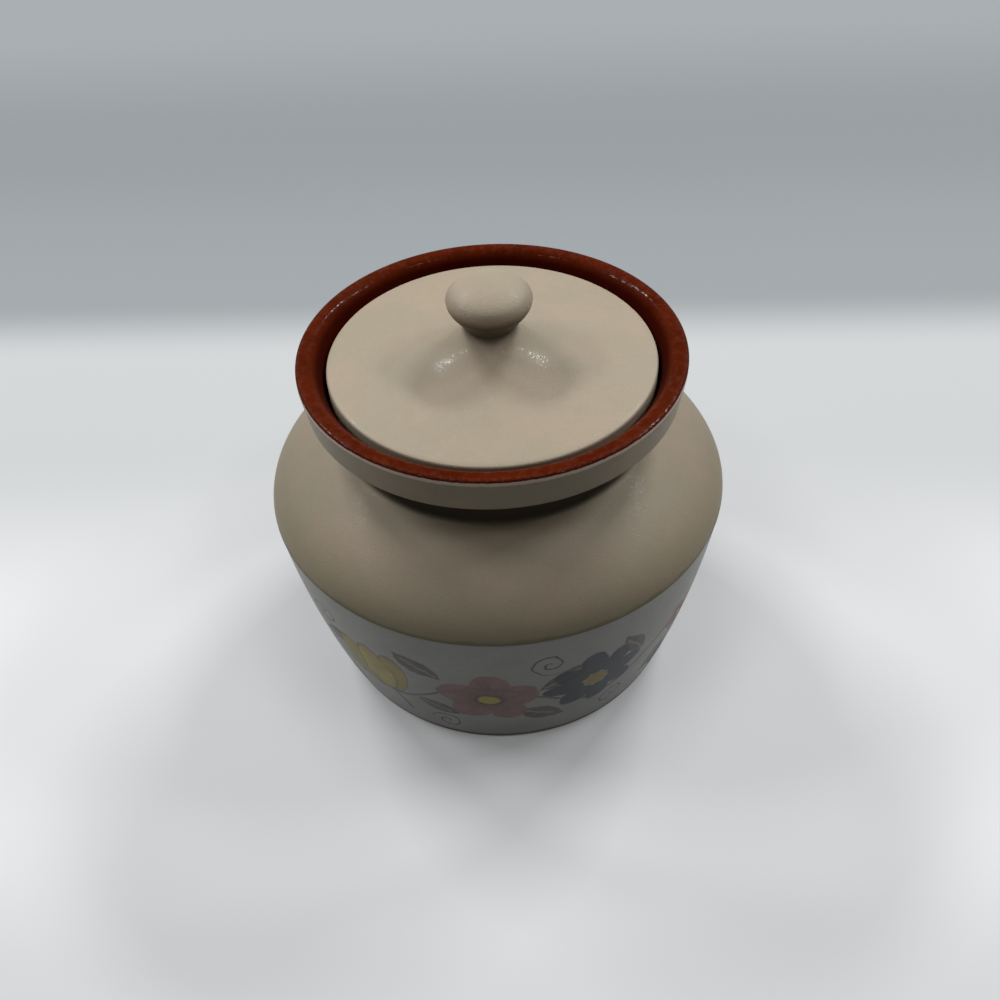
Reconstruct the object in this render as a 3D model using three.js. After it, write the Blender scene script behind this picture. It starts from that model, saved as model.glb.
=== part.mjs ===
// A lidded stoneware cookie jar: a thrown crock body with a turned-out collar, a rust liner glaze that
// laps over the lip, a pale painted band round the lower wall, and a drop-in lid with a luted knob.
// Millimetres, +Z up. The origin is the centre of the foot, on the surface that the jar stands on.
import * as THREE from "three";

// Driving dimensions
const RIM_RADIUS = 80.8; // outside of the lip
const RIM_HEIGHT = 163.8; // top of the lip
const BELLY_RADIUS = 102.2; // widest point of the wall
const BELLY_HEIGHT = 95;
const BASE_RADIUS = 83.3; // where the wall meets the table
const NECK_RADIUS = 66; // outside, under the collar
const MOUTH_RADIUS = 59; // inside the neck
const WALL = 7; // clay and glaze together
const FLOOR_HEIGHT = 10; // top of the inside floor
const LID_RADIUS = 68.8;
const LID_EDGE_HEIGHT = 159; // top of the lid at its edge
const KNOB_RADIUS = 17.4;
const KNOB_TOP = 194.4;

// Fits, coats and small features
const SEGMENTS = 40; // flats round each turned piece
const CHORD = 12; // longest straight step along a curve, and a curve has at least three
const COAT = 0.8; // depth that a glaze coat takes up
const COAT_GAP = 0.1; // between a coat and the clay behind it
const SEAT_GAP = 0.3; // between the lid and the ledge that it rests on
const FOOT_WIDTH = 9; // ring that touches the table
const FOOT_RECESS = 2.5; // height of the hollow inside the foot ring
const FOOT_CHAMFER = 1.5;
const BAND_BOTTOM = 4; // bare clay below the painted band
const LEDGE_HEIGHT = 151; // ledge inside the collar
const COLLAR_BASE_HEIGHT = 147.9; // lower edge of the collar
const COLLAR_BASE_RADIUS = 79.2;
const COLLAR_UNDERCUT_HEIGHT = 141; // where the neck turns out into the collar
const NECK_LOW_HEIGHT = 131; // where the neck turns out into the shoulder
const SHOULDER_TOP_RADIUS = 69; // where the shoulder's slope ends and the fillet to the neck begins
const SHOULDER_TOP_HEIGHT = 126.5;
const LIP_OUTER_HEIGHT = 160.8; // where the liner glaze stops on the outside
const LIP_INNER_RADIUS = 73.8;
const LIP_ROUND = 1.3; // round of the lip's outer edge
const SEAT_TOP_RADIUS = 70.3; // where the straight seat round the lid opens out into the lip
const SEAT_TOP_HEIGHT = 157.2;
const LEDGE_RADIUS = 69.8; // inside of the collar at the ledge
const FLANGE_RADIUS = 57; // ring under the lid that drops into the neck
const FLANGE_WIDTH = 5.5;
const FLANGE_BOTTOM = 143;
const LID_THICKNESS = 7.5;
const LID_ROUND = 1.6; // round of the lid's edge
const STEM_RADIUS = 10.3; // narrowest part, under the knob
const STEM_HEIGHT = 176; // where the knob is luted on
const KNOB_WIDEST_HEIGHT = 186.8;

// Colours of the fired finishes
const OATMEAL_GLAZE = new THREE.MeshStandardMaterial({ color: "#b9ad98", roughness: 0.6, metalness: 0 });
const RUST_GLAZE = new THREE.MeshStandardMaterial({ color: "#6e2c18", roughness: 0.2, metalness: 0 });
const BAND_GLAZE = new THREE.MeshStandardMaterial({ color: "#c2c0ba", roughness: 0.5, metalness: 0 });

const at = (radius, height) => new THREE.Vector2(radius, height);

// Points along a curve of three or four control points, both ends included.
function bend(...controls) {
  const Curve = controls.length === 3 ? THREE.QuadraticBezierCurve : THREE.CubicBezierCurve;
  const curve = new Curve(...controls);
  return curve.getPoints(Math.max(3, Math.ceil(curve.getLength() / CHORD)));
}

// A profile from its pieces, with repeated points dropped.
function join(...pieces) {
  const points = pieces.flat();
  return points.filter((point, i) => i === 0 || point.distanceTo(points[i - 1]) > 1e-6);
}

// The same open profile moved sideways, to its right where the distance is positive, with mitred corners.
function shift(profile, distance) {
  const normals = profile.slice(1).map((point, i) => {
    const along = point.clone().sub(profile[i]).normalize();
    return at(along.y, -along.x);
  });
  return profile.map((point, i) => {
    const before = normals[Math.max(i - 1, 0)];
    const after = normals[Math.min(i, normals.length - 1)];
    const middle = before.clone().add(after).normalize();
    return point.clone().addScaledVector(middle, distance / middle.dot(after));
  });
}

// A named mesh turned about the vertical axis from a closed profile of radius and height.
function turned(name, profile, material) {
  const geometry = new THREE.LatheGeometry(profile, SEGMENTS);
  geometry.rotateX(Math.PI / 2);
  const mesh = new THREE.Mesh(geometry, material);
  mesh.name = name;
  return mesh;
}

// Lower wall, from the bottom of the painted band to the widest point
const bellyPoint = at(BELLY_RADIUS, BELLY_HEIGHT);
const lowerWall = bend(
  at(BASE_RADIUS + 1.3, BAND_BOTTOM),
  at(BASE_RADIUS + 7, 0.2 * BELLY_HEIGHT),
  at(BELLY_RADIUS - 2.8, 0.65 * BELLY_HEIGHT),
  bellyPoint,
);

// Shoulder and neck, from the widest point up to the collar's undercut
const shoulderTop = at(SHOULDER_TOP_RADIUS, SHOULDER_TOP_HEIGHT);
const shoulder = bend(
  bellyPoint,
  at(BELLY_RADIUS, BELLY_HEIGHT + 10.5),
  at(SHOULDER_TOP_RADIUS + 16.4, SHOULDER_TOP_HEIGHT - 7.4),
  shoulderTop,
);
const neck = bend(
  shoulderTop,
  at(NECK_RADIUS + 0.2, SHOULDER_TOP_HEIGHT + 1.3),
  at(NECK_RADIUS, NECK_LOW_HEIGHT),
);

// Collar, from the undercut to the line where the liner glaze stops
const collar = join(
  bend(
    at(NECK_RADIUS, COLLAR_UNDERCUT_HEIGHT),
    at(NECK_RADIUS + 0.5, COLLAR_BASE_HEIGHT - 1.5),
    at(COLLAR_BASE_RADIUS - 1.2, COLLAR_BASE_HEIGHT - 0.8),
  ),
  [at(COLLAR_BASE_RADIUS, COLLAR_BASE_HEIGHT + 0.6), at(RIM_RADIUS, LIP_OUTER_HEIGHT)],
);

// Glazed inside, from the outside of the lip over it, down to the ledge, and on to the middle of the floor
const innerShoulderTop = at(shoulderTop.x - 0.7 * WALL, shoulderTop.y - 0.8 * WALL);
const innerBelly = at(BELLY_RADIUS - WALL, BELLY_HEIGHT - 2);
const innerFloorEdge = at(BASE_RADIUS - WALL - 4, FLOOR_HEIGHT);
const lip = join(
  [at(RIM_RADIUS, LIP_OUTER_HEIGHT)],
  bend(
    at(RIM_RADIUS, RIM_HEIGHT - LIP_ROUND),
    at(RIM_RADIUS, RIM_HEIGHT),
    at(RIM_RADIUS - LIP_ROUND, RIM_HEIGHT),
  ),
  bend(
    at((RIM_RADIUS + LIP_INNER_RADIUS) / 2, RIM_HEIGHT),
    at(LIP_INNER_RADIUS + 0.9, RIM_HEIGHT),
    at(LIP_INNER_RADIUS, RIM_HEIGHT - 1.9),
  ),
);
const inside = join(
  lip,
  [at(SEAT_TOP_RADIUS, SEAT_TOP_HEIGHT), at(LEDGE_RADIUS, LEDGE_HEIGHT), at(MOUTH_RADIUS, LEDGE_HEIGHT)],
  bend(
    at(MOUTH_RADIUS, NECK_LOW_HEIGHT),
    at(MOUTH_RADIUS + 0.5, SHOULDER_TOP_HEIGHT - 2.5),
    innerShoulderTop,
  ),
  bend(
    innerShoulderTop,
    at(SHOULDER_TOP_RADIUS + 11, SHOULDER_TOP_HEIGHT - 13),
    at(innerBelly.x, BELLY_HEIGHT + 6),
    innerBelly,
  ),
  bend(
    innerBelly,
    at(innerBelly.x - 2.8, 0.62 * BELLY_HEIGHT),
    at(BASE_RADIUS + 5, 0.2 * BELLY_HEIGHT),
    innerFloorEdge,
  ),
  [at(0, FLOOR_HEIGHT)],
);

// Clay body: the foot, the wall set back behind the painted band, the shoulder, the collar, and the
// inside set back behind the liner glaze
function jarBody() {
  const footInner = BASE_RADIUS - FOOT_CHAMFER - FOOT_WIDTH;
  const foot = [
    at(0, FOOT_RECESS),
    at(footInner - FOOT_RECESS, FOOT_RECESS),
    at(footInner, 0),
    at(BASE_RADIUS - FOOT_CHAMFER, 0),
    at(BASE_RADIUS, FOOT_CHAMFER),
    lowerWall[0],
  ];
  const lipStop = at(RIM_RADIUS, LIP_OUTER_HEIGHT - COAT_GAP);
  const outside = join(foot, shift(lowerWall, -COAT), shoulder, neck, collar.slice(0, -1), [lipStop]);
  return turned("jar_body", [...outside, ...shift(inside, -COAT)], OATMEAL_GLAZE);
}

// Rust glaze that lines the jar and laps over the lip
function linerGlaze() {
  const back = shift(inside, COAT_GAP - COAT).reverse();
  return turned("liner_glaze", [...back, ...inside], RUST_GLAZE);
}

// Pale ground of the painted band, on the lower wall between the foot and the widest point
function bandGlaze() {
  const back = shift(lowerWall, COAT_GAP - COAT).reverse();
  return turned("band_glaze", [...lowerWall, ...back, lowerWall[0]], BAND_GLAZE);
}

// Lid: a drop-in plate with a locating flange below and a stem that flares up to the knob
function lidPlate() {
  const seat = LEDGE_HEIGHT + SEAT_GAP;
  const under = LID_EDGE_HEIGHT - LID_THICKNESS + 2;
  const top = join(
    bend(
      at(LID_RADIUS, LID_EDGE_HEIGHT - LID_ROUND),
      at(LID_RADIUS, LID_EDGE_HEIGHT),
      at(LID_RADIUS - LID_ROUND, LID_EDGE_HEIGHT + 0.4),
    ),
    bend(
      at(LID_RADIUS - LID_ROUND, LID_EDGE_HEIGHT + 0.4),
      at(0.58 * LID_RADIUS, LID_EDGE_HEIGHT + 4.4),
      at(STEM_RADIUS + 5.5, LID_EDGE_HEIGHT + 4),
      at(STEM_RADIUS, STEM_HEIGHT),
    ),
    [at(0, STEM_HEIGHT)],
  );
  const bottom = [
    at(0, under + 4),
    at(FLANGE_RADIUS - FLANGE_WIDTH, under),
    at(FLANGE_RADIUS - FLANGE_WIDTH, FLANGE_BOTTOM),
    at(FLANGE_RADIUS - 1, FLANGE_BOTTOM),
    at(FLANGE_RADIUS, seat),
    at(LID_RADIUS - 1.5, seat),
    at(LID_RADIUS, seat + 1.5),
  ];
  return turned("lid_plate", [...bottom, ...top], OATMEAL_GLAZE);
}

// Flattened mushroom knob, luted on the stem
function lidKnob() {
  const foot = STEM_HEIGHT + SEAT_GAP;
  const profile = join(
    [at(0, foot)],
    bend(
      at(STEM_RADIUS, foot),
      at(STEM_RADIUS + 1.5, foot + 1.6),
      at(KNOB_RADIUS - 0.2, KNOB_WIDEST_HEIGHT - 5),
      at(KNOB_RADIUS, KNOB_WIDEST_HEIGHT),
    ),
    bend(
      at(KNOB_RADIUS, KNOB_WIDEST_HEIGHT),
      at(KNOB_RADIUS, KNOB_TOP - 3),
      at(0.55 * KNOB_RADIUS, KNOB_TOP),
      at(0, KNOB_TOP),
    ),
  );
  return turned("lid_knob", profile, OATMEAL_GLAZE);
}

const jar = new THREE.Group();
jar.add(jarBody(), linerGlaze(), bandGlaze());

const lid = new THREE.Group();
lid.add(lidPlate(), lidKnob());

const cookieJar = new THREE.Group();
cookieJar.add(jar, lid);

export default cookieJar;
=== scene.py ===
"""A lidded stoneware cookie jar: thrown pot, rust liner, painted band, drop-in lid and luted knob.

Lengths are in metres. The jar stands on z = 0 with its axis along +Z, and the viewer is towards -Y.
"""
import math

import bpy
from mathutils import Matrix, Vector


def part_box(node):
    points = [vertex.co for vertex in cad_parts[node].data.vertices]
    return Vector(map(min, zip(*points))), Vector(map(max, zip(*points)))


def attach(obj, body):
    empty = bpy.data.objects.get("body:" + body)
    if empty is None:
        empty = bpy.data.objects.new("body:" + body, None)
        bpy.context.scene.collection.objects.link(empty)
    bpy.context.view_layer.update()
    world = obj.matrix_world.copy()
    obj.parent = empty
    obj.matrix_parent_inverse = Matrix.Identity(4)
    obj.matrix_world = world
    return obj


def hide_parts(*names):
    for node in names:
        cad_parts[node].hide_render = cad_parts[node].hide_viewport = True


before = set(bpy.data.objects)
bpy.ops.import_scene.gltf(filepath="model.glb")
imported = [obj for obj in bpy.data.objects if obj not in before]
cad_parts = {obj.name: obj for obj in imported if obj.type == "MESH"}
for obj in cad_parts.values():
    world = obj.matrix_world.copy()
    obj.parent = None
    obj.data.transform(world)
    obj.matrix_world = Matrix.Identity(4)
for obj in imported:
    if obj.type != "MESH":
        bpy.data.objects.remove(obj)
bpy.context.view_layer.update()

MM = 0.001

# Sizes that the frame holds
BELLY_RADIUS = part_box("band_glaze")[1].x
BELLY_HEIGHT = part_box("band_glaze")[1].z
BAND_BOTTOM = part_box("band_glaze")[0].z
RIM_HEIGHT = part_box("liner_glaze")[1].z
FLANGE_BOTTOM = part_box("lid_plate")[0].z
LID_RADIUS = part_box("lid_plate")[1].x
STEM_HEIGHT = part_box("lid_plate")[1].z
KNOB_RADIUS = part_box("lid_knob")[1].x
KNOB_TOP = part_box("lid_knob")[1].z

# Sizes of the pot
RIM_RADIUS = 80.8 * MM
BASE_RADIUS = 83.3 * MM
SHOULDER_TOP_RADIUS = 69 * MM
SHOULDER_TOP_HEIGHT = 126.5 * MM
NECK_RADIUS = 66 * MM
MOUTH_RADIUS = 59 * MM
WALL = 7 * MM
FLOOR_HEIGHT = 10 * MM
COAT = 0.8 * MM
FOOT_WIDTH = 9 * MM
FOOT_RECESS = 2.5 * MM
FOOT_ROUND = 1.5 * MM
LEDGE_HEIGHT = 151 * MM
LEDGE_RADIUS = 69.8 * MM
COLLAR_BASE_HEIGHT = 147.9 * MM
COLLAR_BASE_RADIUS = 79.2 * MM
UNDERCUT_HEIGHT = 141 * MM
NECK_LOW_HEIGHT = 131 * MM
LIP_OUTER_HEIGHT = 160.8 * MM
LIP_INNER_RADIUS = 73.8 * MM
LIP_ROUND = 1.3 * MM
SEAT_TOP_RADIUS = 70.3 * MM
SEAT_TOP_HEIGHT = 157.2 * MM
GLAZE_STEP = 0.25 * MM  # how far the oatmeal glaze stands proud of the band below it

# Sizes of the lid
LID_EDGE_HEIGHT = 159 * MM
LID_THICKNESS = 7.5 * MM
LID_ROUND = 0.6 * MM
FLANGE_RADIUS = 57 * MM
FLANGE_WIDTH = 5.5 * MM
SEAT_GAP = 0.3 * MM
STEM_RADIUS = 10.3 * MM
KNOB_FOOT_RADIUS = 11.8 * MM
KNOB_WIDEST_HEIGHT = 186.8 * MM

# Turning of the meshes
FLATS_AROUND = 224
OUT_OF_ROUND = 0.003  # greatest loss of radius, as a share
EDGE_WANDER = 1.2 * MM  # how far the oatmeal glaze's lower edge strays up and down

# Colours of the fired finishes, as they look under plain light; some also serve as painted shade and painted
# highlight
OATMEAL = "b6a994"
OATMEAL_WARM = "bba894"
OATMEAL_COOL = "ada48f"
# Olive glaze tone, also used as painted shade on the lower shoulder
GLAZE_EDGE_AND_SHADE = "756d4e"
# Painted shade for the neck groove under the collar and for the underside of the knob
PAINTED_SHADE_DARK = "1f1b12"
IRON_SPECK = "5b4a38"
BARE_CLAY = "9d8f7b"
RUST = "591c04"
RUST_THIN = "7a3208"
# Darker rust tone, also the painted shade down the inside of the pot
RUST_DARK_AND_SHADE = "2c0200"
# Pale glaze break, also used as a painted highlight along the outer edge of the lip
RUST_PALE_AND_HIGHLIGHT = "fbe4d4"
BAND_GROUND = "c6c5c1"
BAND_CLOUD = "b9b9b6"
ROSE = "b08a88"
ROSE_DEEP = "8c6261"
NAVY = "1f2a37"
NAVY_DEEP = "12181f"
MUSTARD = "dac972"
MUSTARD_DEEP = "b39f54"
TAUPE = "72675f"
TAUPE_DEEP = "574b41"
LINE_BROWN = "57483a"
FLOOR_WHITE = "dcdee0"
FLOOR_BACK = "b9bcbe"
FLOOR_FAR = "959c9f"
FLOOR_DUSK = "868d90"
BACKDROP = "9da3a6"
FLOOR_BOUNCE = "6c6e6e"
FLOOR_BOUNCE_FAR = "68655c"


def tint(code):
    """A six-digit colour code as a linear colour with alpha."""
    shares = [int(code[i:i + 2], 16) / 255 for i in (0, 2, 4)]
    linear = [s / 12.92 if s <= 0.04045 else ((s + 0.055) / 1.055) ** 2.4 for s in shares]
    return (*linear, 1.0)


class Socket:
    """An output socket that Python arithmetic extends with Math nodes."""

    def __init__(self, bench, link):
        self.bench = bench
        self.link = link

    def out(self, name):
        return Socket(self.bench, self.link.node.outputs[name])

    def math(self, operation, *values):
        return self.bench.node("ShaderNodeMath", {"operation": operation}, dict(enumerate(values)))

    def __add__(self, other):
        return self.math("ADD", self, other)

    __radd__ = __add__

    def __sub__(self, other):
        return self.math("SUBTRACT", self, other)

    def __rsub__(self, other):
        return self.math("SUBTRACT", other, self)

    def __mul__(self, other):
        return self.math("MULTIPLY", self, other)

    __rmul__ = __mul__

    def __truediv__(self, other):
        return self.math("DIVIDE", self, other)

    def __abs__(self):
        return self.math("ABSOLUTE", self)

    def __gt__(self, other):
        return self.math("GREATER_THAN", self, other)

    def __lt__(self, other):
        return self.math("LESS_THAN", self, other)

    def sin(self):
        return self.math("SINE", self)

    def cos(self):
        return self.math("COSINE", self)

    def floor(self):
        return self.math("FLOOR", self)

    def fraction(self):
        return self.math("FRACT", self)

    def least(self, other):
        return self.math("MINIMUM", self, other)

    def most(self, other):
        return self.math("MAXIMUM", self, other)

    def angle_to(self, across):
        """The angle whose rise is this value and whose run is the other."""
        return self.math("ARCTAN2", self, across)

    def soft(self, low, high):
        """A smooth step from 0 at low to 1 at high."""
        settings = {"interpolation_type": "SMOOTHSTEP"}
        return self.bench.node("ShaderNodeMapRange", settings, {0: self, 1: low, 2: high})


class Bench:
    """Adds nodes to one tree."""

    def __init__(self, tree):
        self.tree = tree

    def node(self, kind, settings=None, sockets=None, output=0):
        made = self.tree.nodes.new(kind)
        for name, value in (settings or {}).items():
            setattr(made, name, value)
        for key, value in (sockets or {}).items():
            if isinstance(value, Socket):
                self.tree.links.new(value.link, made.inputs[key])
            else:
                made.inputs[key].default_value = value
        return Socket(self, made.outputs[output]) if made.outputs else made

    def mix(self, amount, under, over):
        """One colour painted over another by an amount from 0 to 1."""
        return self.node("ShaderNodeMix", {"data_type": "RGBA"}, {0: amount, 6: under, 7: over}, 2)

    def place(self):
        return self.node("ShaderNodeTexCoord", output="Object")

    def parts(self, vector):
        return self.node("ShaderNodeSeparateXYZ", None, {0: vector})

    def vector(self, x, y, z=0.0):
        return self.node("ShaderNodeCombineXYZ", None, {0: x, 1: y, 2: z})

    def length(self, vector):
        return self.node("ShaderNodeVectorMath", {"operation": "LENGTH"}, {0: vector}, "Value")

    def moved(self, vector, spot, turn=0.0, size=(1.0, 1.0)):
        """The vector as seen from a spot, a turn in degrees and a size."""
        return self.node("ShaderNodeMapping", {"vector_type": "TEXTURE"}, {
            "Vector": vector,
            "Location": (*spot, 0.0),
            "Rotation": (0.0, 0.0, math.radians(turn)),
            "Scale": (*size, 1.0),
        })

    def cloud(self, place, size, detail=2.0):
        """Soft noise from 0 to 1 with features of the given size."""
        return self.node("ShaderNodeTexNoise", None, {"Vector": place, "Scale": 1 / size, "Detail": detail})


# Profiles of radius and height, run outside upwards and inside downwards

def bend(steps, *controls):
    """Points along a curve of three or four control points, both ends included."""
    order = len(controls) - 1
    points = []
    for i in range(steps + 1):
        t = i / steps
        weights = [math.comb(order, k) * (1 - t) ** (order - k) * t ** k for k in range(order + 1)]
        points.append(tuple(sum(w * c[axis] for w, c in zip(weights, controls)) for axis in (0, 1)))
    return points


def run(steps, start, end):
    """Points along a straight stretch, both ends included."""
    return [tuple(a + (b - a) * i / steps for a, b in zip(start, end)) for i in range(steps + 1)]


def chain(*pieces):
    """A profile from its pieces, with repeated points dropped."""
    points = []
    for point in (p for piece in pieces for p in piece):
        if not points or math.dist(point, points[-1]) > 1e-7:
            points.append(point)
    return points


def shift(profile, distance):
    """The same profile moved to the right of its run, with mitred corners."""
    normals = []
    for (r0, z0), (r1, z1) in zip(profile, profile[1:]):
        length = math.hypot(r1 - r0, z1 - z0)
        normals.append(Vector(((z1 - z0) / length, (r0 - r1) / length)))
    moved = []
    for i, point in enumerate(profile):
        before = normals[max(i - 1, 0)]
        after = normals[min(i, len(normals) - 1)]
        middle = (before + after).normalized()
        step = middle * (distance / middle.dot(after))
        moved.append((point[0] + step.x, point[1] + step.y))
    return moved


def lower_wall(steps):
    """Outside of the wall, from the bottom of the painted band to the widest point."""
    return bend(
        steps,
        (BASE_RADIUS + 1.3 * MM, BAND_BOTTOM),
        (BASE_RADIUS + 7 * MM, 0.2 * BELLY_HEIGHT),
        (BELLY_RADIUS - 2.8 * MM, 0.65 * BELLY_HEIGHT),
        (BELLY_RADIUS, BELLY_HEIGHT),
    )


def upper_wall():
    """Outside of the shoulder and neck, from the widest point to the collar's undercut."""
    shoulder_top = (SHOULDER_TOP_RADIUS, SHOULDER_TOP_HEIGHT)
    shoulder = bend(
        30,
        (BELLY_RADIUS, BELLY_HEIGHT),
        (BELLY_RADIUS, BELLY_HEIGHT + 10.5 * MM),
        (SHOULDER_TOP_RADIUS + 16.4 * MM, SHOULDER_TOP_HEIGHT - 7.4 * MM),
        shoulder_top,
    )
    neck = bend(
        10,
        shoulder_top,
        (NECK_RADIUS + 0.2 * MM, SHOULDER_TOP_HEIGHT + 1.3 * MM),
        (NECK_RADIUS, NECK_LOW_HEIGHT),
    )
    return chain(shoulder, neck)


def collar():
    """Outside of the collar, from the undercut to the line where the liner glaze stops."""
    undercut = bend(
        10,
        (NECK_RADIUS, UNDERCUT_HEIGHT),
        (NECK_RADIUS + 0.5 * MM, COLLAR_BASE_HEIGHT - 1.5 * MM),
        (COLLAR_BASE_RADIUS - 1.8 * MM, COLLAR_BASE_HEIGHT - 1 * MM),
    )
    edge = bend(
        6,
        undercut[-1],
        (COLLAR_BASE_RADIUS - 0.1 * MM, COLLAR_BASE_HEIGHT - 0.8 * MM),
        (COLLAR_BASE_RADIUS + 0.1 * MM, COLLAR_BASE_HEIGHT + 1.6 * MM),
    )
    return chain(undercut, edge, run(8, edge[-1], (RIM_RADIUS, LIP_OUTER_HEIGHT)))


def inside():
    """Glazed inside, from the outside of the lip over it, past the ledge, to the middle of the floor."""
    lip_middle = ((RIM_RADIUS + LIP_INNER_RADIUS) / 2, RIM_HEIGHT)
    shoulder_top = (SHOULDER_TOP_RADIUS - 0.7 * WALL, SHOULDER_TOP_HEIGHT - 0.8 * WALL)
    belly = (BELLY_RADIUS - WALL, BELLY_HEIGHT - 2 * MM)
    lip_corner = (RIM_RADIUS, RIM_HEIGHT - LIP_ROUND)
    lip_edge = (RIM_RADIUS - LIP_ROUND, RIM_HEIGHT)
    lip_outside = chain(
        run(4, (RIM_RADIUS, LIP_OUTER_HEIGHT), lip_corner),
        bend(10, lip_corner, (RIM_RADIUS, RIM_HEIGHT), lip_edge),
        run(4, lip_edge, lip_middle),
    )
    lip_inside = bend(
        12,
        lip_middle,
        (LIP_INNER_RADIUS + 1.4 * MM, RIM_HEIGHT),
        (LIP_INNER_RADIUS + 0.6 * MM, RIM_HEIGHT - 1 * MM),
        (LIP_INNER_RADIUS - 1.2 * MM, RIM_HEIGHT - 3.4 * MM),
    )
    seat_top = (SEAT_TOP_RADIUS, SEAT_TOP_HEIGHT)
    ledge_corner = (LEDGE_RADIUS, LEDGE_HEIGHT)
    ledge_edge = (MOUTH_RADIUS, LEDGE_HEIGHT)
    neck_low = (MOUTH_RADIUS, NECK_LOW_HEIGHT)
    return chain(
        lip_outside,
        lip_inside,
        bend(8, lip_inside[-1], seat_top, (LEDGE_RADIUS + 0.3 * MM, LEDGE_HEIGHT + 3 * MM)),
        bend(4, (LEDGE_RADIUS + 0.1 * MM, LEDGE_HEIGHT + 0.8 * MM), ledge_corner,
             (LEDGE_RADIUS - 0.8 * MM, LEDGE_HEIGHT)),
        bend(4, (MOUTH_RADIUS + 1 * MM, LEDGE_HEIGHT), ledge_edge, (MOUTH_RADIUS, LEDGE_HEIGHT - 1 * MM)),
        [neck_low],
        bend(8, neck_low, (MOUTH_RADIUS + 0.5 * MM, SHOULDER_TOP_HEIGHT - 2.5 * MM), shoulder_top),
        bend(12, shoulder_top, (SHOULDER_TOP_RADIUS + 11 * MM, SHOULDER_TOP_HEIGHT - 13 * MM),
             (belly[0], BELLY_HEIGHT + 6 * MM), belly),
        bend(18, belly, (belly[0] - 2.8 * MM, 0.62 * BELLY_HEIGHT),
             (BASE_RADIUS + 5 * MM, 0.2 * BELLY_HEIGHT), (BASE_RADIUS - WALL - 4 * MM, FLOOR_HEIGHT)),
        run(6, (BASE_RADIUS - WALL - 4 * MM, FLOOR_HEIGHT), (0.0, FLOOR_HEIGHT)),
    )


def pot_profile():
    """The clay pot, set back behind the painted band and behind the liner glaze."""
    foot_inner = BASE_RADIUS - FOOT_ROUND - FOOT_WIDTH
    foot_recess = (foot_inner - FOOT_RECESS, FOOT_RECESS)
    band_foot = (BASE_RADIUS + 1.3 * MM, BAND_BOTTOM)
    foot = chain(
        run(4, (0.0, FOOT_RECESS), foot_recess),
        bend(4, foot_recess, (foot_inner - 0.6 * MM, FOOT_RECESS - 0.2 * MM), (foot_inner, 0.0)),
        run(3, (foot_inner, 0.0), (BASE_RADIUS - FOOT_ROUND, 0.0)),
        bend(5, (BASE_RADIUS - FOOT_ROUND, 0.0), (BASE_RADIUS, 0.0), band_foot),
    )
    behind_band = shift(lower_wall(24), -COAT)
    belly = (BELLY_RADIUS, BELLY_HEIGHT)
    glaze_edge = bend(
        4,
        (BELLY_RADIUS - COAT, BELLY_HEIGHT),
        (BELLY_RADIUS - 0.02 * MM, BELLY_HEIGHT - 0.1 * MM),
        (BELLY_RADIUS, BELLY_HEIGHT + 0.6 * MM),
    )
    wall = [p for p in upper_wall() if p[1] > belly[1] + 0.8 * MM]
    return chain(foot, behind_band, glaze_edge, wall, collar(), shift(inside(), -COAT))


def liner_profile():
    """The rust glaze coat over the lip and down the inside."""
    face = inside()
    return chain(reversed(shift(face, 0.02 * MM - COAT)), face)


def band_profile():
    """The painted coat on the lower wall, set a little behind the oatmeal glaze above it."""
    wall = lower_wall(48)
    face = shift(wall, -GLAZE_STEP)
    back = list(reversed(shift(wall, 0.02 * MM - COAT)))
    return chain(face, back, [face[0]])


def lid_profile():
    """The drop-in lid with its locating flange below and a stem that flares up to the knob."""
    seat = LEDGE_HEIGHT + SEAT_GAP
    under = LID_EDGE_HEIGHT - LID_THICKNESS + 2 * MM
    flange_inner = FLANGE_RADIUS - FLANGE_WIDTH
    plate_start = (LID_RADIUS - LID_ROUND, LID_EDGE_HEIGHT + 0.4 * MM)
    return chain(
        run(8, (0.0, under + 4 * MM), (flange_inner - 2 * MM, under)),
        bend(5, (flange_inner - 2 * MM, under), (flange_inner, under), (flange_inner, under - 2 * MM)),
        bend(5, (flange_inner, FLANGE_BOTTOM + 1.5 * MM), (flange_inner, FLANGE_BOTTOM),
             (flange_inner + 1.5 * MM, FLANGE_BOTTOM)),
        bend(5, (FLANGE_RADIUS - 2.5 * MM, FLANGE_BOTTOM), (FLANGE_RADIUS - 1 * MM, FLANGE_BOTTOM),
             (FLANGE_RADIUS - 0.8 * MM, FLANGE_BOTTOM + 1.5 * MM)),
        [(FLANGE_RADIUS, seat)],
        bend(6, (LID_RADIUS - 2 * MM, seat), (LID_RADIUS, seat), (LID_RADIUS, seat + 2 * MM)),
        bend(12, (LID_RADIUS, LID_EDGE_HEIGHT - LID_ROUND), (LID_RADIUS, LID_EDGE_HEIGHT), plate_start),
        bend(48, plate_start, (0.54 * LID_RADIUS, LID_EDGE_HEIGHT + 3.2 * MM),
             (STEM_RADIUS + 3.6 * MM, LID_EDGE_HEIGHT + 4 * MM), (STEM_RADIUS, STEM_HEIGHT)),
        run(3, (STEM_RADIUS, STEM_HEIGHT + SEAT_GAP / 2), (0.0, STEM_HEIGHT + SEAT_GAP / 2)),
    )


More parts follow.
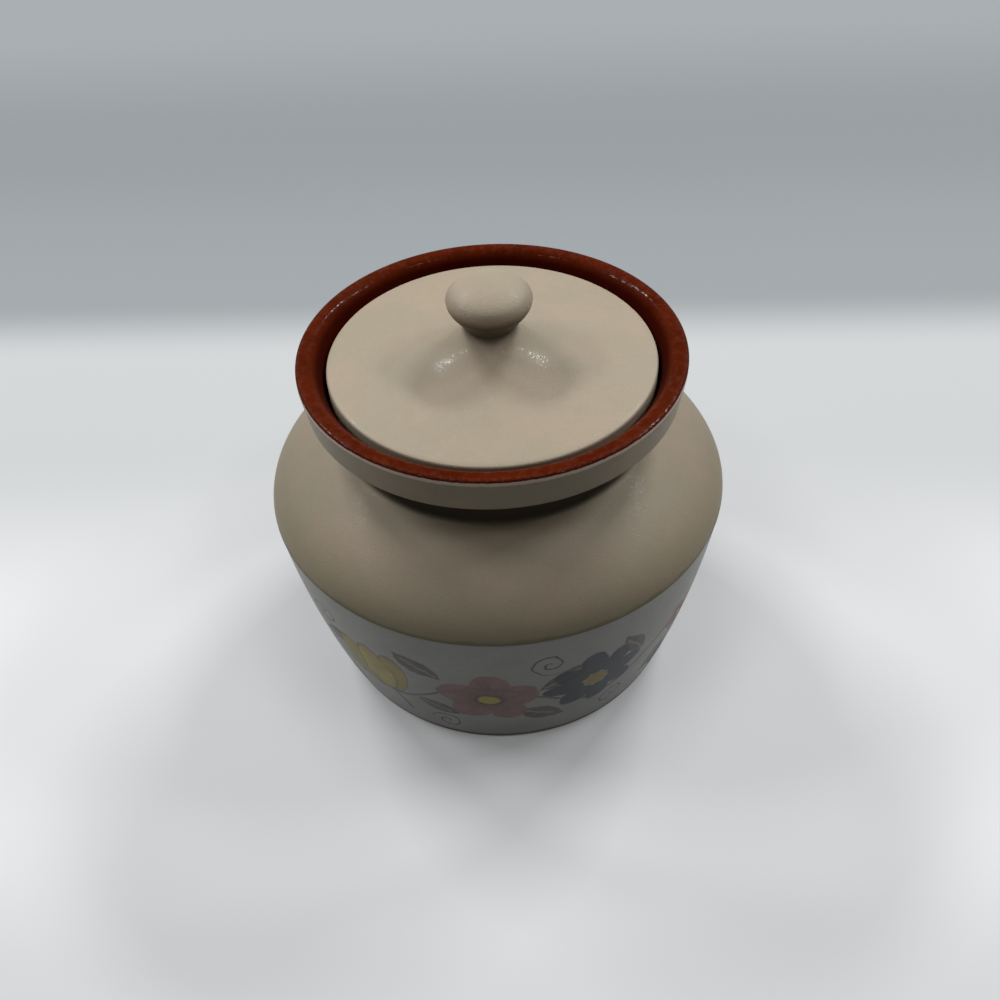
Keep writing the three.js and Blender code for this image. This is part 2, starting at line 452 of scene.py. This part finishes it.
def knob_profile():
    """The flattened mushroom knob, luted on the stem."""
    foot = STEM_HEIGHT + SEAT_GAP / 2
    return chain(
        run(3, (0.0, foot), (KNOB_FOOT_RADIUS - 1 * MM, foot)),
        bend(5, (KNOB_FOOT_RADIUS - 1 * MM, foot), (KNOB_FOOT_RADIUS, foot),
             (KNOB_FOOT_RADIUS + 0.3 * MM, foot + 1 * MM)),
        bend(20, (KNOB_FOOT_RADIUS + 0.3 * MM, foot + 1 * MM), (KNOB_FOOT_RADIUS + 1 * MM, foot + 3.4 * MM),
             (KNOB_RADIUS - 0.2 * MM, KNOB_WIDEST_HEIGHT - 4.5 * MM), (KNOB_RADIUS, KNOB_WIDEST_HEIGHT)),
        bend(24, (KNOB_RADIUS, KNOB_WIDEST_HEIGHT), (KNOB_RADIUS, KNOB_TOP - 3 * MM),
             (0.55 * KNOB_RADIUS, KNOB_TOP), (0.0, KNOB_TOP)),
    )


# Turning on the wheel

def wheel_tree():
    """A geometry tree that turns a profile about the axis, with the small unevenness of hand throwing."""
    tree = bpy.data.node_groups.new("potters_wheel", "GeometryNodeTree")
    tree.interface.new_socket("Geometry", in_out="OUTPUT", socket_type="NodeSocketGeometry")
    for name, kind in (
        ("Profile", "NodeSocketGeometry"),
        ("Flats Around", "NodeSocketInt"),
        ("Out Of Round", "NodeSocketFloat"),
        ("Edge Height", "NodeSocketFloat"),
        ("Edge Wander", "NodeSocketFloat"),
        ("Glaze", "NodeSocketMaterial"),
    ):
        tree.interface.new_socket(name, in_out="INPUT", socket_type=kind)
    bench = Bench(tree)
    given = bench.node("NodeGroupInput")
    profile = given.out("Profile")
    rings = bench.node("GeometryNodeAttributeDomainSize", None, {0: profile})
    sheet = bench.node("GeometryNodeMeshGrid", None, {
        "Size X": 1.0, "Size Y": 1.0, "Vertices X": given.out("Flats Around") + 1, "Vertices Y": rings})
    spot = bench.node("ShaderNodeSeparateXYZ", None, {0: bench.node("GeometryNodeInputPosition")})
    turn = (spot + 0.5) * (2 * math.pi)
    row = (spot.out("Y") + 0.5) * (rings - 1) + 0.5
    point = bench.node("GeometryNodeSampleIndex", {"data_type": "FLOAT_VECTOR"}, {
        "Geometry": profile, "Value": bench.node("GeometryNodeInputPosition"), "Index": row.floor()})
    drawn = bench.node("ShaderNodeSeparateXYZ", None, {0: point})
    radius = drawn
    height = drawn.out("Z")
    around = bench.node("ShaderNodeCombineXYZ", None, {0: turn.cos(), 1: turn.sin(), 2: height * 6})
    swell = bench.node("ShaderNodeTexNoise", None, {"Vector": around, "Scale": 1.1, "Detail": 1.0})
    stray = bench.node("ShaderNodeTexNoise", None, {"Vector": around, "Scale": 3.0, "Detail": 3.0})
    radius = radius * (1 - given.out("Out Of Round") * swell)
    near_edge = 1 - abs(height - given.out("Edge Height")).soft(0.0, 5 * MM)
    height = height + given.out("Edge Wander") * (stray - 0.5) * near_edge
    turned = bench.node("ShaderNodeCombineXYZ", None, {
        0: radius * turn.cos(), 1: radius * turn.sin(), 2: height})
    mesh = bench.node("GeometryNodeSetPosition", None, {"Geometry": sheet, "Position": turned})
    mesh = bench.node("GeometryNodeMergeByDistance", None, {"Geometry": mesh, "Distance": 1e-6})
    mesh = bench.node("GeometryNodeSetShadeSmooth", None, {"Geometry": mesh, "Shade Smooth": True})
    corner = bench.node("GeometryNodeInputMeshEdgeAngle") > 0.7
    mesh = bench.node("GeometryNodeSetShadeSmooth", {"domain": "EDGE"}, {
        "Geometry": mesh, "Selection": corner, "Shade Smooth": False})
    mesh = bench.node("GeometryNodeRealizeInstances", None, {0: mesh})
    mesh = bench.node("GeometryNodeSetMaterial", None, {"Geometry": mesh, "Material": given.out("Glaze")})
    bench.node("NodeGroupOutput", None, {0: mesh})
    return tree


def throw(tree, name, profile, glaze, out_of_round=0.0, edge_height=0.0, edge_wander=0.0):
    """A named mesh turned from a profile on the wheel tree."""
    line = bpy.data.meshes.new(name + "_profile")
    line.from_pydata([(r, 0.0, z) for r, z in profile], [(i, i + 1) for i in range(len(profile) - 1)], [])
    piece = bpy.data.objects.new(name, line)
    bpy.context.scene.collection.objects.link(piece)
    wheel = piece.modifiers.new("wheel", "NODES")
    wheel.node_group = tree
    sockets = {item.name: item.identifier for item in tree.interface.items_tree if item.in_out == "INPUT"}
    wheel[sockets["Flats Around"]] = FLATS_AROUND
    wheel[sockets["Out Of Round"]] = out_of_round
    wheel[sockets["Edge Height"]] = edge_height
    wheel[sockets["Edge Wander"]] = edge_wander
    wheel[sockets["Glaze"]] = glaze
    evaluated = piece.evaluated_get(bpy.context.evaluated_depsgraph_get())
    mesh = bpy.data.meshes.new_from_object(evaluated)
    piece.modifiers.remove(wheel)
    piece.data = mesh
    mesh.name = name
    bpy.data.meshes.remove(line)
    return piece


# Finishes

def finish_material(name):
    """A new material, its bench and its surface shader node."""
    material = bpy.data.materials.new(name)
    material.use_nodes = True
    shader = material.node_tree.nodes["Principled BSDF"]
    return material, Bench(material.node_tree), shader


def connect(bench, shader, **links):
    """Links values to the shader's sockets of the same names."""
    for name, value in links.items():
        bench.tree.links.new(value.link, shader.inputs[name.replace("_", " ")])


def relief(bench, height, depth):
    """A surface normal from a height between 0 and 1 and its depth in metres."""
    sockets = {"Strength": 1.0, "Distance": depth, "Height": height}
    return bench.node("ShaderNodeBump", None, sockets, "Normal")


def specks(bench, place, spacing, radius, share):
    """Round specks scattered through the glaze: their mask, from 0 to 1."""
    cells = bench.node("ShaderNodeTexVoronoi", None, {"Vector": place, "Scale": 1 / spacing})
    chance = bench.node("ShaderNodeSeparateColor", None, {0: cells.out("Color")})
    size = (0.45 + 0.55 * chance.out("Green")) * (radius / spacing)
    return (1 - (cells / size).soft(0.6, 1.0)) * (chance < share)


def oatmeal_colour(bench, place):
    """Mottled oatmeal glaze with fine grain and a few scattered iron specks."""
    drift = bench.cloud(place, 32 * MM)
    grain = bench.cloud(place, 0.9 * MM, 1.0)
    mottle = bench.cloud(place, 5 * MM)
    colour = bench.mix(drift.soft(0.35, 0.65), tint(OATMEAL_COOL), tint(OATMEAL_WARM))
    colour = bench.mix(0.5, colour, tint(OATMEAL))
    shade = (grain.soft(0.3, 0.7) * 0.6 + mottle.soft(0.3, 0.7) * 0.4) * 0.1
    colour = bench.mix(shade, colour, tint(GLAZE_EDGE_AND_SHADE))
    fine = specks(bench, place, 7 * MM, 0.4 * MM, 0.25)
    bold = specks(bench, place, 24 * MM, 0.8 * MM, 0.3)
    return bench.mix((fine * 0.3).most(bold * 0.6), colour, tint(IRON_SPECK))


def oatmeal_glaze():
    """Satin oatmeal glaze with a darker line at its lower edge, a darkening towards the belly that is partly
    painted shade, painted shade in the neck groove and under the knob, and bare clay on the foot.
    """
    material, bench, shader = finish_material("oatmeal_glaze")
    place = bench.place()
    parts = bench.parts(place)
    height = parts.out("Z")
    radius = bench.length(bench.vector(parts, parts.out("Y")))
    wander = (bench.cloud(place, 9 * MM) - 0.5) * (3 * MM)
    colour = oatmeal_colour(bench, place)
    # Darker towards the belly: partly the glaze's olive tone, partly painted shade on the lower shoulder
    olive_and_shade = 1 - (height + wander).soft(BELLY_HEIGHT + 4 * MM, BELLY_HEIGHT + 24 * MM)
    colour = bench.mix(olive_and_shade * 0.4, colour, tint(GLAZE_EDGE_AND_SHADE))
    pooled = 1 - (height + wander).soft(BELLY_HEIGHT + 1.2 * MM, BELLY_HEIGHT + 3.2 * MM)
    colour = bench.mix(pooled * 0.8, colour, tint(GLAZE_EDGE_AND_SHADE))
    # Painted shade: a near-black band in the groove under the collar
    groove_shade = 1 - radius.soft(NECK_RADIUS + 0.2 * MM, NECK_RADIUS + 2 * MM)
    groove_shade = groove_shade * height.soft(BELLY_HEIGHT + 20 * MM, BELLY_HEIGHT + 36 * MM)
    groove_shade = groove_shade * (1 - height.soft(NECK_LOW_HEIGHT + 3 * MM, NECK_LOW_HEIGHT + 9 * MM))
    # Painted shade under the knob, round the top of the stem
    knob_underside_shade = 1 - abs(height - STEM_HEIGHT - 3.5 * MM).soft(3.5 * MM, 8 * MM)
    colour = bench.mix((groove_shade * 0.85).most(knob_underside_shade * 0.8), colour, tint(PAINTED_SHADE_DARK))
    bare = 1 - height.soft(BAND_BOTTOM - 0.4 * MM, BAND_BOTTOM + 0.2 * MM)
    colour = bench.mix(bare, colour, tint(BARE_CLAY))
    grain = bench.cloud(place, 0.8 * MM, 2.0)
    peel = bench.cloud(place, 4 * MM, 1.0)
    on_flare = height.soft(LID_EDGE_HEIGHT + 2 * MM, LID_EDGE_HEIGHT + 5 * MM)
    on_flare = on_flare * (1 - height.soft(STEM_HEIGHT, STEM_HEIGHT + 2 * MM))
    connect(
        bench, shader,
        Base_Color=colour,
        Roughness=0.38 + grain * 0.2 + bare.most(groove_shade) * 0.4,
        Coat_Weight=grain.soft(0.45, 0.65) * (1 - bare.most(groove_shade)) * (0.06 + on_flare * 0.18),
        Normal=relief(bench, grain + peel * 0.3, 0.12 * MM),
    )
    shader.inputs["Specular IOR Level"].default_value = 0.2
    shader.inputs["Coat Roughness"].default_value = 0.13
    return material


def rust_glaze():
    """Glossy rust glaze, lighter where it thins at the outside of the lip, with a painted highlight and
    painted glints there and painted shade down the inside.
    """
    material, bench, shader = finish_material("rust_glaze")
    place = bench.place()
    parts = bench.parts(place)
    height = parts.out("Z")
    radius = bench.length(bench.vector(parts, parts.out("Y")))
    drift = bench.cloud(place, 14 * MM)
    streak = bench.cloud(place, 2.2 * MM)
    grain = bench.cloud(place, 0.8 * MM, 1.0)
    colour = bench.mix(drift.soft(0.3, 0.7) * 0.3, tint(RUST), tint(RUST_DARK_AND_SHADE))
    colour = bench.mix(streak.soft(0.4, 0.75) * 0.12, colour, tint(RUST_THIN))
    # Painted shade: the inside below the lip is darkened
    inside_shade = 1 - height.soft(RIM_HEIGHT - 4 * MM, RIM_HEIGHT - 1.2 * MM)
    colour = bench.mix(inside_shade * 0.8, colour, tint(RUST_DARK_AND_SHADE))
    edge = height + (streak - 0.5) * (0.7 * MM)
    outside = radius.soft(RIM_RADIUS - 1.2 * MM, RIM_RADIUS - 0.8 * MM)
    outside = outside * height.soft(LEDGE_HEIGHT, LEDGE_HEIGHT + 4 * MM)
    # A pale line along the outside of the lip: partly the glaze breaking, partly a painted highlight
    pale = (1 - edge.soft(RIM_HEIGHT - 1.2 * MM, RIM_HEIGHT - 0.9 * MM)) * outside
    colour = bench.mix(pale, colour, tint(RUST_PALE_AND_HIGHLIGHT))
    # Pale speckles on the lip's outer edge: partly glaze breaking, partly painted glints
    breaking_and_glints = radius.soft(RIM_RADIUS - 3 * MM, RIM_RADIUS - 0.8 * MM) * grain.soft(0.42, 0.68)
    on_lip = height.soft(RIM_HEIGHT - 2 * MM, RIM_HEIGHT - 0.8 * MM)
    colour = bench.mix(breaking_and_glints * on_lip * 0.02, colour, tint(RUST_PALE_AND_HIGHLIGHT))
    bare = (1 - edge.soft(RIM_HEIGHT - 3 * MM, RIM_HEIGHT - 2.2 * MM)) * outside
    colour = bench.mix(bare, colour, tint(OATMEAL))
    ripple = bench.cloud(place, 2.6 * MM, 1.0)
    connect(
        bench, shader,
        Base_Color=colour,
        Roughness=0.3 + streak * 0.16,
        Coat_Weight=on_lip * streak.soft(0.42, 0.75) * 0.3,
        Normal=relief(bench, ripple + grain * 0.6, 0.06 * MM),
    )
    shader.inputs["Specular IOR Level"].default_value = 0.015
    shader.inputs["Coat Roughness"].default_value = 0.1
    return material


# The painted band, drawn in millimetres of girth and height

PATTERN_REPEATS = 3
PATTERN_RADIUS = 95.0
PATTERN_START = -34.0  # how far the pattern is turned from the front
VINE_HEIGHT = 47.0
VINE_SWING = 13.0


def pattern_sheet(bench, place):
    """Girth and height in millimetres within one repeat, with the wander of a hand-held brush."""
    parts = bench.parts(place)
    girth = parts.angle_to(-1 * parts.out("Y")) * PATTERN_RADIUS - PATTERN_START
    unit = 2 * math.pi * PATTERN_RADIUS / PATTERN_REPEATS
    girth = ((girth / unit + 0.5).fraction() - 0.5) * unit
    sway = bench.cloud(place, 30 * MM, 1.0)
    rise = bench.cloud(bench.moved(place, (0.31, 0.17)), 30 * MM, 1.0)
    shiver = bench.cloud(place, 4 * MM, 1.0)
    return bench.vector(
        girth + (sway - 0.5) * 9 + (shiver - 0.5) * 1.6,
        parts.out("Z") / MM + (rise - 0.5) * 9 + (shiver - 0.5) * 1.6,
    )


def polar(bench, spot):
    """Distance from the middle of a motif and angle about it."""
    parts = bench.parts(spot)
    return bench.length(spot), parts.out("Y").angle_to(parts)


def leaf(bench, sheet, spot, length, width, turn):
    """A pointed leaf and its midrib: their masks."""
    parts = bench.parts(bench.moved(sheet, spot, turn, (length / 2, width / 2)))
    along = parts
    across = abs(parts.out("Y"))
    blade = 1 - (across + along * along).soft(0.9, 1.06)
    rib = (1 - across.soft(0.05, 0.15)) * (1 - abs(along + 0.1).soft(0.65, 0.8))
    return blade, rib


def folded(bench, spot, petals):
    """Place within one petal of a flower, with the petal's own axis along x."""
    reach, angle = polar(bench, spot)
    share = ((angle * (petals / (2 * math.pi)) + 0.5).fraction() - 0.5) * (2 * math.pi / petals)
    return bench.vector(reach * share.cos(), reach * share.sin())


def curl(bench, sheet, spot, pitch, turns, turn):
    """A spiral tendril: its mask."""
    reach, angle = polar(bench, bench.moved(sheet, spot, turn))
    winding = (reach / pitch - angle / (2 * math.pi)).fraction()
    line = 1 - (abs(winding - 0.5) * pitch).soft(0.25, 0.75)
    return line * (1 - reach.soft(turns * pitch - 0.5, turns * pitch + 0.5))


def paint_vine(bench, sheet, colour):
    """A thin brown stem that runs round the pot in a wave, with curls."""
    parts = bench.parts(sheet)
    wave = (parts * (2 * PATTERN_REPEATS / PATTERN_RADIUS)).sin()
    line = 1 - abs(parts.out("Y") - VINE_HEIGHT - wave * VINE_SWING).soft(0.5, 1.25)
    for spot, pitch, turns, turn in (
        ((-54, 74), 5.5, 1.6, 30),
        ((52, 76), 5.0, 1.7, 200),
        ((4, 18), 5.0, 1.6, 120),
        ((86, 24), 5.5, 1.5, 300),
    ):
        line = line.most(curl(bench, sheet, spot, pitch, turns, turn))
    return bench.mix(line * 0.85, colour, tint(LINE_BROWN))


def paint_leaves(bench, sheet, wash, colour):
    """Taupe leaves along the stem, each with a pale midrib."""
    shade = bench.mix(wash, tint(TAUPE), tint(TAUPE_DEEP))
    for spot, length, width, turn in (
        ((-86, 32), 24, 11, 215),
        ((-46, 60), 24, 10, 20),
        ((-54, 22), 25, 12, 160),
        ((-4, 70), 25, 11, 140),
        ((2, 34), 22, 10, 330),
        ((50, 30), 27, 12, 335),
        ((58, 62), 24, 11, 40),
        ((90, 66), 22, 10, 120),
    ):
        blade, rib = leaf(bench, sheet, spot, length, width, turn)
        colour = bench.mix(blade * 0.92, colour, shade)
        colour = bench.mix(blade * rib * 0.6, colour, tint(BAND_GROUND))
    return colour


def paint_rose(bench, sheet, wash, colour, spot, radius, turn):
    """A rose-pink blossom of five round petals with a mustard eye."""
    middle = bench.moved(sheet, spot, turn, (radius, radius))
    petal = folded(bench, middle, 5)
    blade = 1 - bench.length(bench.moved(petal, (0.56, 0.0), 0.0, (0.46, 0.42))).soft(0.92, 1.04)
    reach = bench.length(middle)
    blade = blade.most(1 - reach.soft(0.5, 0.56))
    gap = 1 - abs(bench.parts(petal).out("Y")).soft(0.0, 0.05)
    gap = gap * reach.soft(0.25, 0.4) * (1 - reach.soft(0.62, 0.8))
    shade = bench.mix((wash * 0.6 + 1 - reach.soft(0.1, 0.8)).least(1.0), tint(ROSE), tint(ROSE_DEEP))
    colour = bench.mix(blade * 0.92, colour, shade)
    colour = bench.mix(blade * gap * 0.55, colour, tint(ROSE_DEEP))
    colour = bench.mix(1 - reach.soft(0.17, 0.23), colour, tint(MUSTARD))
    ring = 1 - abs(reach - 0.24).soft(0.02, 0.06)
    return bench.mix(ring * 0.7, colour, tint(LINE_BROWN))


def paint_daisy(bench, sheet, wash, colour, spot, radius, turn, petals):
    """A navy daisy of separate petals with a taupe eye."""
    middle = bench.moved(sheet, spot, turn, (radius, radius))
    petal = folded(bench, middle, petals)
    width = 0.68 * math.sin(math.pi / petals)
    blade = 1 - bench.length(bench.moved(petal, (0.62, 0.0), 0.0, (0.4, width))).soft(0.9, 1.06)
    reach = bench.length(middle)
    shade = bench.mix((wash * 1.2).least(1.0), tint(NAVY_DEEP), tint(NAVY))
    colour = bench.mix(blade * 0.95, colour, shade)
    return bench.mix(1 - reach.soft(0.2, 0.26), colour, tint(MUSTARD_DEEP))


def paint_tulip(bench, sheet, wash, colour, spot, radius, turn):
    """A mustard tulip of three petals on a short stem."""
    middle = bench.moved(sheet, spot, turn, (radius, radius))
    parts = bench.parts(middle)
    rise = parts.out("Y")
    stem = (1 - abs(parts + rise * 0.1).soft(0.02, 0.06)) * (1 - abs(rise + 1.1).soft(0.35, 0.45))
    colour = bench.mix(stem * 0.85, colour, tint(LINE_BROWN))
    shade = bench.mix(wash * 0.6, tint(MUSTARD), tint(MUSTARD_DEEP))
    dusk = bench.mix(0.55 + wash * 0.4, tint(MUSTARD), tint(MUSTARD_DEEP))
    for lean, over, own in ((0.34, -18, dusk), (-0.34, 18, dusk), (0.0, 0, shade)):
        blade = bench.length(bench.moved(middle, (lean, 0.06), over, (0.38, 0.8)))
        colour = bench.mix((1 - blade.soft(0.92, 1.04)) * 0.95, colour, own)
        rim = 1 - abs(blade - 0.98).soft(0.02, 0.09)
        colour = bench.mix(rim * 0.5, colour, tint(TAUPE_DEEP))
    return colour


def band_glaze():
    """Pale grey ground with brush-painted blossoms, leaves and a running stem under a satin glaze."""
    material, bench, shader = finish_material("band_glaze")
    place = bench.place()
    drift = bench.cloud(place, 18 * MM)
    grain = bench.cloud(place, 0.9 * MM, 1.0)
    peel = bench.cloud(place, 4 * MM, 1.0)
    wash = bench.cloud(place, 7 * MM).soft(0.3, 0.7)
    sheet = pattern_sheet(bench, place)
    colour = bench.mix(drift.soft(0.3, 0.7) * 0.6, tint(BAND_GROUND), tint(BAND_CLOUD))
    colour = paint_vine(bench, sheet, colour)
    colour = paint_leaves(bench, sheet, wash, colour)
    colour = paint_rose(bench, sheet, wash, colour, (26, 48), 23, 15)
    colour = paint_rose(bench, sheet, wash, colour, (-76, 56), 11, 40)
    colour = paint_tulip(bench, sheet, wash, colour, (-26, 50), 22, 12)
    colour = paint_daisy(bench, sheet, wash, colour, (72, 52), 22, 8, 8)
    colour = paint_daisy(bench, sheet, wash, colour, (-78, 22), 10, 0, 7)
    colour = bench.mix(grain.soft(0.3, 0.7) * 0.1, colour, tint(LINE_BROWN))
    connect(
        bench, shader,
        Base_Color=colour,
        Roughness=0.34 + grain * 0.15,
        Normal=relief(bench, peel + grain * 0.3, 0.1 * MM),
    )
    shader.inputs["Specular IOR Level"].default_value = 0.2
    return material


# Pieces

wheel = wheel_tree()
oatmeal = oatmeal_glaze()
pot = throw(wheel, "stoneware_pot", pot_profile(), oatmeal, OUT_OF_ROUND, BELLY_HEIGHT, EDGE_WANDER)
liner = throw(wheel, "rust_liner", liner_profile(), rust_glaze(), OUT_OF_ROUND)
band = throw(wheel, "painted_band", band_profile(), band_glaze(), OUT_OF_ROUND)
plate = throw(wheel, "drop_in_lid", lid_profile(), oatmeal, OUT_OF_ROUND)
knob = throw(wheel, "mushroom_knob", knob_profile(), oatmeal, OUT_OF_ROUND)

for piece, body, node, slot in (
    (pot, "jar", "jar_body", "oatmeal_glaze"),
    (liner, "jar", "liner_glaze", "rust_glaze"),
    (band, "jar", "band_glaze", "band_glaze"),
    (plate, "lid", "lid_plate", "oatmeal_glaze"),
    (knob, "lid", "lid_knob", "oatmeal_glaze"),
):
    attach(piece, body)
    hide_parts(node)


# Studio

IMAGE_SIZE = 1000
FOCAL_PIXELS = 997
CAMERA_PLACE = Vector((0, -335.6, 409.0)) * MM
CAMERA_YAW = math.radians(0.1)
CAMERA_PITCH = math.radians(44.96)
CAMERA_ROLL = math.radians(-2.71)
FLOOR_REACH = 6.0
FLOOR_SLANT = 0.053  # how far the shading of the paper runs askew
PAPER_FADE = (0.215, 0.285)  # where the white of the paper ends, behind the jar
PAPER_DUSK = 0.56  # where the paper is darkest
SOFTBOX_DISTANCE = 3.0
SOFTBOX_DEPTH = 0.3
SOFTBOX_AIM = 100 * MM  # height that they point at
SOFTBOXES = (  # bearing from straight behind the jar, rise, length, power
    (math.radians(42), math.radians(47), 0.9, 32.0),
    (math.radians(77), math.radians(43), 0.9, 19.5),
    (math.radians(127), math.radians(56), 0.8, 6.0),
)
FILL = 0.03
FLOOR_GLOW = 0.19  # added where the camera or a reflection sees the floor


def add_camera():
    """A hand-held camera above and in front of the jar, tilted a little."""
    forward = Vector((
        math.sin(CAMERA_YAW) * math.cos(CAMERA_PITCH),
        math.cos(CAMERA_YAW) * math.cos(CAMERA_PITCH),
        -math.sin(CAMERA_PITCH),
    ))
    level = Vector((math.cos(CAMERA_YAW), -math.sin(CAMERA_YAW), 0))
    upright = level.cross(forward)
    right = level * math.cos(CAMERA_ROLL) + upright * math.sin(CAMERA_ROLL)
    up = upright * math.cos(CAMERA_ROLL) - level * math.sin(CAMERA_ROLL)
    lens = bpy.data.cameras.new("camera")
    lens.sensor_width = 36
    lens.lens = FOCAL_PIXELS * lens.sensor_width / IMAGE_SIZE
    lens.clip_start = 0.01
    camera = bpy.data.objects.new("camera", lens)
    turn = Matrix((right, up, -forward)).transposed().to_4x4()
    camera.matrix_world = Matrix.Translation(CAMERA_PLACE) @ turn
    bpy.context.scene.collection.objects.link(camera)
    bpy.context.scene.camera = camera


def add_softboxes():
    """Strip softboxes in pairs, left and right: strong ones behind and beside the jar, weak ones in front."""
    target = Vector((0, 0, SOFTBOX_AIM))
    for bearing, rise, length, power in SOFTBOXES:
        for side in (-1, 1):
            direction = Vector((
                side * math.sin(bearing) * math.cos(rise),
                math.cos(bearing) * math.cos(rise),
                math.sin(rise),
            ))
            lamp = bpy.data.lights.new("softbox", "AREA")
            lamp.shape = "RECTANGLE"
            lamp.size = SOFTBOX_DEPTH
            lamp.size_y = length
            lamp.energy = power
            box = bpy.data.objects.new("softbox", lamp)
            box.location = target + direction * SOFTBOX_DISTANCE
            box.rotation_euler = direction.to_track_quat("Z", "X").to_euler()
            bpy.context.scene.collection.objects.link(box)


def seen_rays(bench):
    """1 where the camera, a reflection or a clear body sees the background, 0 where it lights the jar."""
    rays = bench.node("ShaderNodeLightPath", output="Is Camera Ray")
    return rays.most(rays.out("Is Glossy Ray")).most(rays.out("Is Transmission Ray"))


def add_floor():
    """A sheet of white paper that shades off behind the jar and looks whiter than the light it throws."""
    mesh = bpy.data.meshes.new("floor")
    reach = FLOOR_REACH
    mesh.from_pydata([(-reach, -reach, 0), (reach, -reach, 0), (reach, reach, 0), (-reach, reach, 0)], [],
                     [(0, 1, 2, 3)])
    floor = bpy.data.objects.new("floor", mesh)
    bpy.context.scene.collection.objects.link(floor)
    material, bench, shader = finish_material("floor_paper")
    place = bench.place()
    seen = seen_rays(bench)
    parts = bench.parts(place)
    depth = parts.out("Y") + parts * FLOOR_SLANT
    away = depth.soft(*PAPER_FADE)
    behind = depth.soft(-0.03, 0.12).most((-1 * depth).soft(0.12, 0.2) * 0.7)
    dusk = 1 - abs(depth - PAPER_DUSK).soft(0.0, 0.28)
    white = bench.mix(behind, tint(FLOOR_WHITE), tint(FLOOR_BACK))
    white = bench.mix(away, white, bench.mix(dusk, tint(FLOOR_FAR), tint(FLOOR_DUSK)))
    bounce = bench.mix(bench.length(place).soft(0.25, 0.5), tint(FLOOR_BOUNCE), tint(FLOOR_BOUNCE_FAR))
    # Less glow close to the jar: painted shade that deepens the floor's contact shadow
    near_jar_shade = 1 - bench.length(place).soft(0.09, 0.14)
    glow = seen * (1 - away * 0.6) * (1 - near_jar_shade * 0.5) * FLOOR_GLOW
    connect(
        bench, shader,
        Base_Color=bench.mix(seen, bounce, white),
        Emission_Color=bench.mix(glow, (0.0, 0.0, 0.0, 1.0), (1.0, 1.0, 1.0, 1.0)),
    )
    shader.inputs["Emission Strength"].default_value = 1.0
    shader.inputs["Roughness"].default_value = 0.9
    shader.inputs["Specular IOR Level"].default_value = 0.0
    mesh.materials.append(material)


def add_world():
    """A faint fill light, behind a plain grey backdrop."""
    world = bpy.data.worlds.new("studio")
    world.use_nodes = True
    bench = Bench(world.node_tree)
    seen = seen_rays(bench)
    sky = bench.mix(seen, (0.95 * FILL, 0.98 * FILL, FILL, 1.0), tint(BACKDROP))
    connect(bench, world.node_tree.nodes["Background"], Color=sky)
    bpy.context.scene.world = world


add_camera()
add_softboxes()
add_floor()
add_world()
bpy.context.scene.view_settings.view_transform = "Standard"
